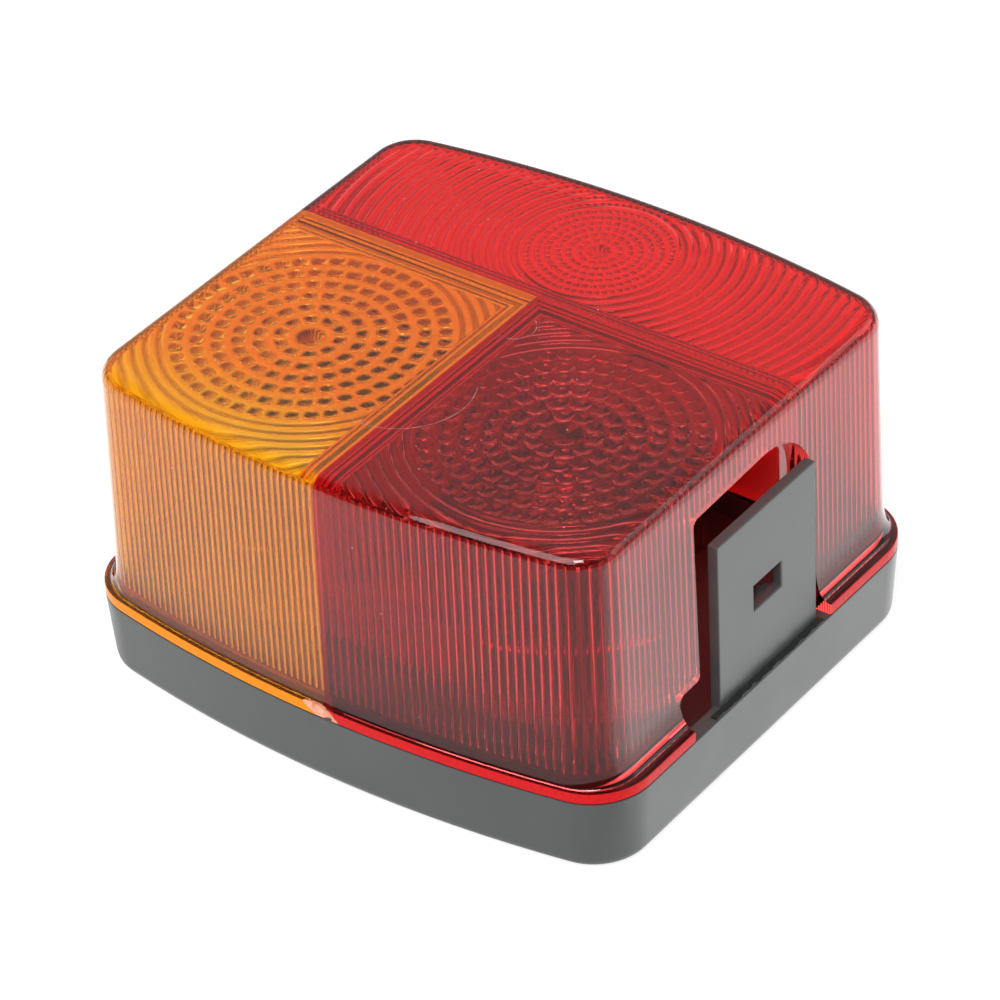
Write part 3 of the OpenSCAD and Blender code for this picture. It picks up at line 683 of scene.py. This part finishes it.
def window_tool():
    """Block that cuts the window and the notch through the right-hand wall."""
    bm = bmesh.new()
    near, far = zip(WINDOW_Y, WINDOW_TOP)
    step, notch = (near[0], NOTCH_Z), (NOTCH_Y, NOTCH_Z)
    corners = ((NOTCH_Y, SKIRT_Z - 1), (far[0], SKIRT_Z - 1), far, near, step, notch)
    x0, x1 = HALF_L - STEP_X - LENS_WALL - WINDOW_DEEP, HALF_L + 1
    verts = [bm.verts.new((x0 * MM, y * MM, z * MM)) for y, z in corners]
    face = bm.faces.new(verts)
    grown = bmesh.ops.extrude_face_region(bm, geom=[face])["geom"]
    bmesh.ops.translate(bm, vec=((x1 - x0) * MM, 0, 0),
                        verts=[g for g in grown if isinstance(g, bmesh.types.BMVert)])

    def across(y, z):
        """Edges that run through the wall at this corner."""
        return [e for e in bm.edges
                if all(abs(v.co.y / MM - y) < GAP and abs(v.co.z / MM - z) < GAP for v in e.verts)]

    rounds = ((far, FAR_ROUND, 14), (near, EAR_ROUND, 5), (step, STEP_ROUND, 4), (notch, NOTCH_ROUND, 5))
    for corner, radius, segments in rounds:
        bmesh.ops.bevel(bm, geom=across(*corner), offset=radius * MM, offset_type="OFFSET", segments=segments,
                        profile=0.5, affect="EDGES", material=-1)
    bmesh.ops.recalc_face_normals(bm, faces=bm.faces[:])
    return new_piece("window_tool", bm)


# Rings, cells and ribs under the top

# Plain disc in the middle of the rings: its radius in front and at the rear, its depth and its flat share
DISC_R, REAR_DISC_R, DISC_DEPTH, DISC_FLAT = 3.1, 2.3, 0.5, 0.6
# Cells: pitch of their rings, and how many are round each ring
RING_PITCH, FRONT_CELLS = 3.4, (10, 15, 24, 30, 36, 45)
REAR_PITCH, REAR_CELLS = 1.75, (12, 20, 30, 36, 45, 60)
# Fine plain rings outside the cells: pitch, and how many in front and at the rear
FINE_PITCH, FRONT_FINE, REAR_FINE = 2.1, 9, 22
# Flat land between rings, height of a cell at its border as a share, and how far discs reach into the top
LAND, CELL_BORDER, ROOT = 0.4, 0.12, 0.5
# Steps round a disc and across a ring
RING_TURNS, RING_STEPS = 360, 6


def ring_profile(bands):
    """Half section of a disc, still flat: (radius, height) from the middle of its face round to its back.
    The face stands a hair below the ceiling, so that its lands don't merge with it."""
    face, root = CEILING - GAP, CEILING + ROOT
    points = [(0, face), (bands[0][0] * DISC_FLAT, face)]
    for r0, r1, depth, _ in bands:
        count = RING_STEPS if depth else 1
        points += [(r0 + (r1 - r0) * i / count, face) for i in range(count)]
    rim = bands[-1][1]
    return points + [(rim, face), (rim, root), (0, root)]


def relief(x, y, bands):
    """How far the face of a disc stands out at a place, in millimetres. A point on a border counts to the
    ring or cell that starts there, and the limits below allow for rounding."""
    r = math.hypot(x, y) / MM
    if r < bands[0][0] - GAP:
        return DISC_DEPTH
    band = next((b for b in bands if b[0] - 0.001 <= r < b[1] - 0.001), None)
    if band is None:
        return 0.0
    r0, r1, depth, cells = band
    u = (r - r0) / (r1 - r0)
    rise = 1 - (2 * u - 1) ** 2
    if cells:
        v = (math.degrees(math.atan2(y, x)) % 360) * cells / 360 % 1.0
        if v > 0.9999:
            v = 0.0
        rise *= CELL_BORDER + (1 - CELL_BORDER) * (1 - (2 * v - 1) ** 2)
    return depth * rise


def ring_disc(spot, bands, skin=RINGS):
    """Disc under the lens top whose lower face carries rings. Each band is (inner radius, outer radius,
    depth, cells round it): cells are pillows, and a band with no cells is a plain ridge."""
    bm = bmesh.new()
    verts = [bm.verts.new((r * MM, 0, z * MM)) for r, z in ring_profile(bands)]
    edges = [bm.edges.new(pair) for pair in zip(verts, verts[1:])]
    bmesh.ops.spin(bm, geom=verts + edges, axis=(0, 0, 1), cent=(0, 0, 0), dvec=(0, 0, 0),
                   angle=2 * math.pi, steps=RING_TURNS, use_merge=True, use_duplicate=False)
    bmesh.ops.remove_doubles(bm, verts=bm.verts, dist=1e-7)
    for vert in bm.verts:
        if vert.co.z < CEILING * MM:
            vert.co.z -= relief(vert.co.x, vert.co.y, bands) * MM
    bmesh.ops.translate(bm, vec=(spot[0] * MM, spot[1] * MM, 0), verts=bm.verts)
    bmesh.ops.recalc_face_normals(bm, faces=bm.faces[:])
    return new_piece("rings", bm, skin)


def stepped(first, pitch, depth, counts):
    """Rings of one pitch, each with its count of cells round it, and a flat land between rings."""
    bands = []
    for i, cells in enumerate(counts):
        start = first + i * pitch
        bands += [(start, start + LAND, 0.0, 0), (start + LAND, start + pitch, depth, cells)]
    return bands


def front_bands():
    bands = stepped(DISC_R, RING_PITCH, CELL_DEPTH, FRONT_CELLS)
    return bands + stepped(bands[-1][1], FINE_PITCH, FINE_DEPTH, [0] * FRONT_FINE)


def rear_bands():
    bands = stepped(REAR_DISC_R, REAR_PITCH, REAR_DEPTH, REAR_CELLS)
    return bands + stepped(bands[-1][1], FINE_PITCH, FINE_DEPTH, [0] * REAR_FINE)


# Reach of a tool past everything that it cuts, and the rings' distance from the wall
BIG, RING_MARGIN = 80.0, 0.4


def chamber(lo, hi):
    """Part of the lens top between two corners that rings may cover, inside the wall."""
    room = prism("room", outline(WALL, -LENS_WALL - RING_MARGIN), CEILING - 3, CEILING + 1)
    return shape(room, "INTERSECT", block("trim", (*lo, CEILING - 4), (*hi, CEILING + 2)))


# Width of the strips beside the ribs, which carry no rings
STRIP_AMBER, STRIP_RED, STRIP_REAR = 4.0, 3.3, 3.8
# How far ribs and bars reach into the top, and how high a partition's root stands
RIB_ROOT, ROOT_H = 0.4, 0.35


# The rib skin is a near-opaque copy of the plastic, lighter in red: painted brightness where the clear
# partitions and bars catch light
def rib(lo, hi, drop=RIB_DROP, skin=RIB):
    """Partition or raised strip under the lens top, trimmed to the room inside the wall. A partition has a
    hairline gap at its root, where the real one has a dull line."""
    z0, z1 = CEILING - drop, CEILING + RIB_ROOT
    if drop == RIB_DROP:
        z1 = CEILING - ROOT_H - 2 * GAP
    bar = block("rib", (*lo, z0), (*hi, z1), skin)
    room = prism("room", outline(WALL, -LENS_WALL - FLUTE_DEPTH), z0 - 1, z1 + 1, skin)
    return shape(bar, "INTERSECT", room)


# Bars along a strip from the colour seam outwards: share of the strip where each ends, drop and skin. The rib
# skin paints a bright line and the clear inside skin leaves a dark one
BARS = ((0.1, 0.35, RIB), (0.2, 0.55, INSIDE), (0.42, 0.35, RIB), (0.68, 0.6, INSIDE), (0.8, 0.35, RIB),
        (0.9, 0.6, INSIDE), (1.0, 0.35, RIB))


def bars(wide, corners):
    """Raised bars side by side along a strip, which show as fine bright and dark lines through the top: the
    bright ones are painted by the rib skin.
    corners(a, b) gives the two corners of the bar that lies between a and b from the seam."""
    starts = [GAP] + [wide * end for end, _, _ in BARS]
    return [rib(*corners(a, b), drop, skin) for a, b, (_, drop, skin) in zip(starts, starts[1:], BARS)]


def rings_in(room, spot, bands, skin=RINGS):
    """Rings round a bulb axis, trimmed to one chamber."""
    return shape(ring_disc(spot, bands, skin), "INTERSECT", chamber(*room))


def make_lens():
    shell = shape(lens_block(), "DIFFERENCE", hollow(),
                  prism("foot", outline(WALL, -LENS_WALL), BASE_H - 1, FLUTE_FOOT + 0.5))
    shape(shell, "UNION", skirt())
    shape(shell, "DIFFERENCE", window_tool(), gate_chip())
    amber = twin(shell)
    amber.name = "lens_amber_moulding"
    red = shell
    red.name = "lens_red_moulding"
    seam = SEAM_Y - GAP
    shape(amber, "INTERSECT", block("half", (-BIG, -BIG, 0), (-GAP, seam, BIG), RIB))
    shape(red, "DIFFERENCE", block("half", (-BIG, -BIG - 1, -1), (GAP, SEAM_Y + GAP, BIG + 1), RIB))
    shape(amber, "UNION",
          rib((-RIB_T, -BIG), (-GAP, seam)),
          rib((-BIG, SEAM_Y - RIB_T), (-GAP, seam)),
          *bars(STRIP_AMBER, lambda a, b: ((-b, -BIG), (-a, SEAM_Y - a))),
          *bars(STRIP_AMBER, lambda a, b: ((-BIG, SEAM_Y - b), (-a, SEAM_Y - a))),
          rings_in(((-BIG, -BIG), (-STRIP_AMBER, SEAM_Y - STRIP_AMBER)), (-BULB_X, BULB_Y), front_bands()))
    shape(red, "UNION",
          rib((GAP, -BIG), (RIB_T, SEAM_Y + SEAM_LAP)),
          rib((GAP, SEAM_Y - RIB_T), (BIG, SEAM_Y + SEAM_LAP)),
          rib((-BIG, SEAM_Y + GAP), (BIG, SEAM_Y + RIB_T)),
          *bars(STRIP_RED, lambda a, b: ((a, -BIG), (b, SEAM_Y - a))),
          *bars(STRIP_RED, lambda a, b: ((a, SEAM_Y - b), (BIG, SEAM_Y - a))),
          *bars(STRIP_REAR, lambda a, b: ((-BIG, SEAM_Y + a), (BIG, SEAM_Y + b))),
          rings_in(((STRIP_RED, -BIG), (BIG, SEAM_Y - STRIP_RED)), (BULB_X, BULB_Y), front_bands()),
          rings_in(((-BIG, SEAM_Y + STRIP_REAR), (BIG, BIG)), (0, REAR_Y), rear_bands(), REAR_RINGS))
    ride(smooth(amber), AMBER, "lens_amber", slot="lens_amber")
    ride(smooth(red), RED, "lens_red", slot="lens_red")


make_lens()

# Base tray

# Rounding of the tray's edges in millimetres, and the angle in degrees from which an edge is rounded
TRAY_ROUND, TRAY_ANGLE = 0.28, 50
# Distance in millimetres at which its points merge, and angle in degrees under which faces are one
TRAY_MERGE, TRAY_FLAT = 0.002, 0.6


def make_base():
    """The base tray of the CAD with its moulded edges rounded."""
    bm = bmesh.new()
    bm.from_mesh(NODES["base_tray"].data)
    bmesh.ops.remove_doubles(bm, verts=bm.verts, dist=TRAY_MERGE * MM)
    bmesh.ops.dissolve_limit(bm, angle_limit=math.radians(TRAY_FLAT), verts=bm.verts, edges=bm.edges)
    tray = new_piece("base_moulding", bm)
    edge = tray.modifiers.new("edges", "BEVEL")
    edge.width, edge.segments, edge.limit_method = TRAY_ROUND * MM, 2, "ANGLE"
    edge.angle_limit = math.radians(TRAY_ANGLE)
    ride(smooth(settle(tray)), (BLACK,), "base_tray", slot="base_plastic")


# Flash on the rim: its two corners, and the cuts along it
FLASH_LO = (PLATE_FACE, WINDOW_Y[0] + 0.6, BASE_H - 0.2)
FLASH_HI = (HALF_L - 0.15, WINDOW_Y[1] - 1.8, BASE_H + 0.35)
FLASH_CUTS = 90


def rim_flash_and_shade():
    """Ragged flash of plastic on the rim, along the foot of the upright plate. Its dark colour is painted
    shade of the rim's top there.
    """
    bm = box(FLASH_LO, FLASH_HI)
    long_edges = [e for e in bm.edges if abs(e.verts[0].co.y - e.verts[1].co.y) > 5 * MM]
    bmesh.ops.subdivide_edges(bm, edges=long_edges, cuts=FLASH_CUTS, use_grid_fill=True)
    middle = (FLASH_LO[0] + FLASH_HI[0]) / 2
    for vert in bm.verts:
        if vert.co.z > BASE_H * MM:
            vert.co.z += (noise.noise(vert.co / MM * 1.1) * 0.22 - 0.05) * MM
            if vert.co.x > middle * MM:
                vert.co.x += min(0.1, noise.noise(vert.co / MM * 0.9) * 0.5 - 0.1) * MM
    bmesh.ops.recalc_face_normals(bm, faces=bm.faces[:])
    ride(smooth(new_piece("rim_flash_and_shade", bm)), (FLASH_AND_SHADE,), slot="base_plastic")


make_base()
rim_flash_and_shade()

# Finishes of the inner pieces, by the node's name or its first words

INNER = {
    "lens_seal": SEAL, "cable_grommet": GROMMET, "earth_plate": STEEL, "plate_rivets": RIVET,
    "contact_rivets": RIVET, "holder": HOLDER, "contact": BRASS, "bulb_cap": CAP, "bulb_glass": GLASS,
    "filament": WIRE,
}
for name, thing in NODES.items():
    for start, material in INNER.items():
        if name == start or name.startswith(start + "_") and name not in INNER:
            for held in thing.material_slots:
                held.material = material
